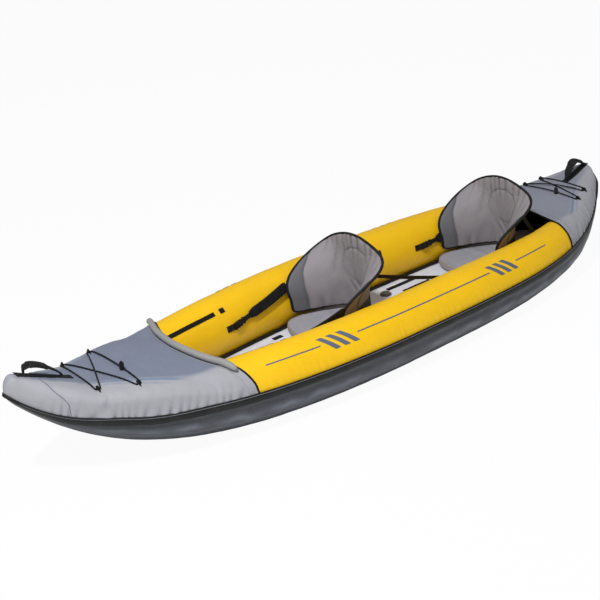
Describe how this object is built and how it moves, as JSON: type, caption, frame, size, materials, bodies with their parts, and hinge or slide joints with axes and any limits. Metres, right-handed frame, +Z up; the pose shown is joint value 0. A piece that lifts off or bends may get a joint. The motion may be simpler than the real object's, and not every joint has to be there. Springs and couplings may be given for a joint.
{
  "type": "inflatable tandem kayak",
  "caption": "Inflatable tandem kayak: covered side tubes, air floor, raised bow and stern decks, padded seats with strapped backs, carry handles, deck cords and valves.",
  "frame": {"origin": "on the ground under the middle of the length, on the centre plane", "axes": "+X to the bow, +Y to port, +Z up"},
  "size_m": [3.39, 0.9334, 0.5048],
  "materials": {
    "hull_cloth": "coated cloth with a soft sheen",
    "seam_strip": "satin moulded strip",
    "deck_cloth": "coated woven cloth, matte",
    "black_binding": "folded tape, matte",
    "roll_cloth": "woven cloth over foam",
    "yellow_cloth": "coated woven cloth, satin",
    "chamber_vinyl": "smooth vinyl",
    "floor_vinyl": "smooth vinyl with a soft sheen",
    "black_webbing": "ribbed webbing",
    "hook_tape": "hook tape, matte",
    "cord": "braided cord",
    "black_plastic": "moulded, satin",
    "grip_rubber": "soft sleeve, matte",
    "seat_pad_cloth": "woven cloth over foam",
    "pad_base_cloth": "woven cloth, matte",
    "seat_back_cloth": "woven cloth over foam",
    "back_panel_cloth": "woven cloth, matte",
    "strap_cloth": "padded cloth strap",
    "valve_plastic": "moulded, satin",
    "valve_stem": "moulded, satin",
    "fin_plastic": "moulded, satin"
  },
  "bodies": {
    "hull": {"hull_bottom": "hull_cloth", "bow_end_plug": "hull_cloth", "stern_end_plug": "hull_cloth", "rub_strips": "seam_strip", "bow_deck": "deck_cloth", "stern_deck": "deck_cloth", "bow_deck_binding": "black_binding", "stern_deck_binding": "black_binding", "bow_coaming_roll": "roll_cloth", "port_tube_cover": "yellow_cloth", "starboard_tube_cover": "yellow_cloth", "port_air_chamber": "chamber_vinyl", "starboard_air_chamber": "chamber_vinyl", "air_floor": "floor_vinyl", "floor_edge_strips": "black_webbing", "floor_grip_strips": "hook_tape", "tube_closure_strips": "black_webbing", "tube_tabs": "black_webbing", "bow_bungee": "cord", "stern_bungee": "cord", "bungee_loops": "black_webbing", "bow_lock_body": "black_plastic", "stern_lock_body": "black_plastic", "bow_handle_base": "black_webbing", "stern_handle_base": "black_webbing", "front_seat_pad": "seat_pad_cloth", "rear_seat_pad": "seat_pad_cloth", "seat_pad_bases": "pad_base_cloth", "seat_buckle_bodies": "black_plastic", "front_port_strap": "strap_cloth", "front_starboard_strap": "strap_cloth", "rear_port_strap": "strap_cloth", "rear_starboard_strap": "strap_cloth", "front_seat_stays": "black_webbing", "rear_seat_stays": "black_webbing", "valve_bodies": "valve_plastic", "tracking_fin": "fin_plastic"},
    "front_seat_back": {"front_back_cushion": "seat_back_cloth", "front_back_binding": "black_binding", "front_back_panel": "back_panel_cloth"},
    "rear_seat_back": {"rear_back_cushion": "seat_back_cloth", "rear_back_binding": "black_binding", "rear_back_panel": "back_panel_cloth"},
    "bow_handle": {"bow_handle_strap": "black_webbing", "bow_handle_sleeve": "grip_rubber"},
    "stern_handle": {"stern_handle_strap": "black_webbing", "stern_handle_sleeve": "grip_rubber"},
    "bow_lock_button": {"bow_lock_button": "black_plastic"},
    "stern_lock_button": {"stern_lock_button": "black_plastic"},
    "front_port_tongue": {"front_port_tongue": "black_plastic"},
    "front_starboard_tongue": {"front_starboard_tongue": "black_plastic"},
    "rear_port_tongue": {"rear_port_tongue": "black_plastic"},
    "rear_starboard_tongue": {"rear_starboard_tongue": "black_plastic"},
    "port_valve_cap": {"port_valve_cap": "valve_plastic"},
    "starboard_valve_cap": {"starboard_valve_cap": "valve_plastic"},
    "floor_valve_cap": {"floor_valve_cap": "valve_plastic"},
    "port_valve_plunger": {"port_valve_plunger": "valve_stem"},
    "starboard_valve_plunger": {"starboard_valve_plunger": "valve_stem"},
    "floor_valve_plunger": {"floor_valve_plunger": "valve_stem"}
  },
  "joints": [
    {"name": "front_seat_recline", "type": "hinge", "parent": "hull", "child": "front_seat_back", "pos_m": [-0.065, 0, 0.13], "axis": [0, 1, 0], "range_deg": [-30, 2], "deforming": ["front_port_strap", "front_starboard_strap", "front_seat_stays"]},
    {"name": "rear_seat_recline", "type": "hinge", "parent": "hull", "child": "rear_seat_back", "pos_m": [-1.05, 0, 0.13], "axis": [0, 1, 0], "range_deg": [-24, 2], "deforming": ["rear_port_strap", "rear_starboard_strap", "rear_seat_stays"]},
    {"name": "bow_handle_swing", "type": "hinge", "parent": "hull", "child": "bow_handle", "pos_m": [1.53378, 0, 0.42421], "axis": [0.9085, 0, 0.4179], "range_deg": [-45, 45]},
    {"name": "stern_handle_swing", "type": "hinge", "parent": "hull", "child": "stern_handle", "pos_m": [-1.58499, 0, 0.37262], "axis": [0.9433, 0, -0.3319], "range_deg": [-45, 45]},
    {"name": "bow_lock_press", "type": "slide", "parent": "hull", "child": "bow_lock_button", "axis": [0, 0, -1], "range_m": [0, 0.004], "stiffness_N_per_m": 600},
    {"name": "stern_lock_press", "type": "slide", "parent": "hull", "child": "stern_lock_button", "axis": [0, 0, -1], "range_m": [0, 0.004], "stiffness_N_per_m": 600},
    {"name": "front_port_buckle_release", "type": "slide", "parent": "hull", "child": "front_port_tongue", "axis": [-0.9681, 0.0961, 0.2313], "range_m": [0, 0.024], "deforming": ["front_port_strap"]},
    {"name": "front_starboard_buckle_release", "type": "slide", "parent": "hull", "child": "front_starboard_tongue", "axis": [-0.9681, -0.0961, 0.2313], "range_m": [0, 0.024], "deforming": ["front_starboard_strap"]},
    {"name": "rear_port_buckle_release", "type": "slide", "parent": "hull", "child": "rear_port_tongue", "axis": [-0.9898, -0.075, 0.121], "range_m": [0, 0.024], "deforming": ["rear_port_strap"]},
    {"name": "rear_starboard_buckle_release", "type": "slide", "parent": "hull", "child": "rear_starboard_tongue", "axis": [-0.9898, 0.075, 0.121], "range_m": [0, 0.024], "deforming": ["rear_starboard_strap"]},
    {"name": "port_valve_cap_turn", "type": "hinge", "parent": "hull", "child": "port_valve_cap", "pos_m": [-1.29, 0.12213, 0.19506], "axis": [0.2581, -0.9604, 0.1045], "range_deg": [0, 90]},
    {"name": "starboard_valve_cap_turn", "type": "hinge", "parent": "hull", "child": "starboard_valve_cap", "pos_m": [-1.29, -0.12213, 0.19506], "axis": [0.2581, 0.9604, 0.1045], "range_deg": [0, 90]},
    {"name": "floor_valve_cap_turn", "type": "hinge", "parent": "hull", "child": "floor_valve_cap", "pos_m": [-0.3, -0.10584, 0.072], "axis": [0, 0, 1], "range_deg": [0, 90]},
    {"name": "port_valve_press", "type": "slide", "parent": "hull", "child": "port_valve_plunger", "axis": [-0.2581, 0.9604, -0.1045], "range_m": [0, 0.005], "stiffness_N_per_m": 500},
    {"name": "starboard_valve_press", "type": "slide", "parent": "hull", "child": "starboard_valve_plunger", "axis": [-0.2581, -0.9604, -0.1045], "range_m": [0, 0.005], "stiffness_N_per_m": 500},
    {"name": "floor_valve_press", "type": "slide", "parent": "hull", "child": "floor_valve_plunger", "axis": [0, 0, -1], "range_m": [0, 0.005], "stiffness_N_per_m": 500}
  ]
}
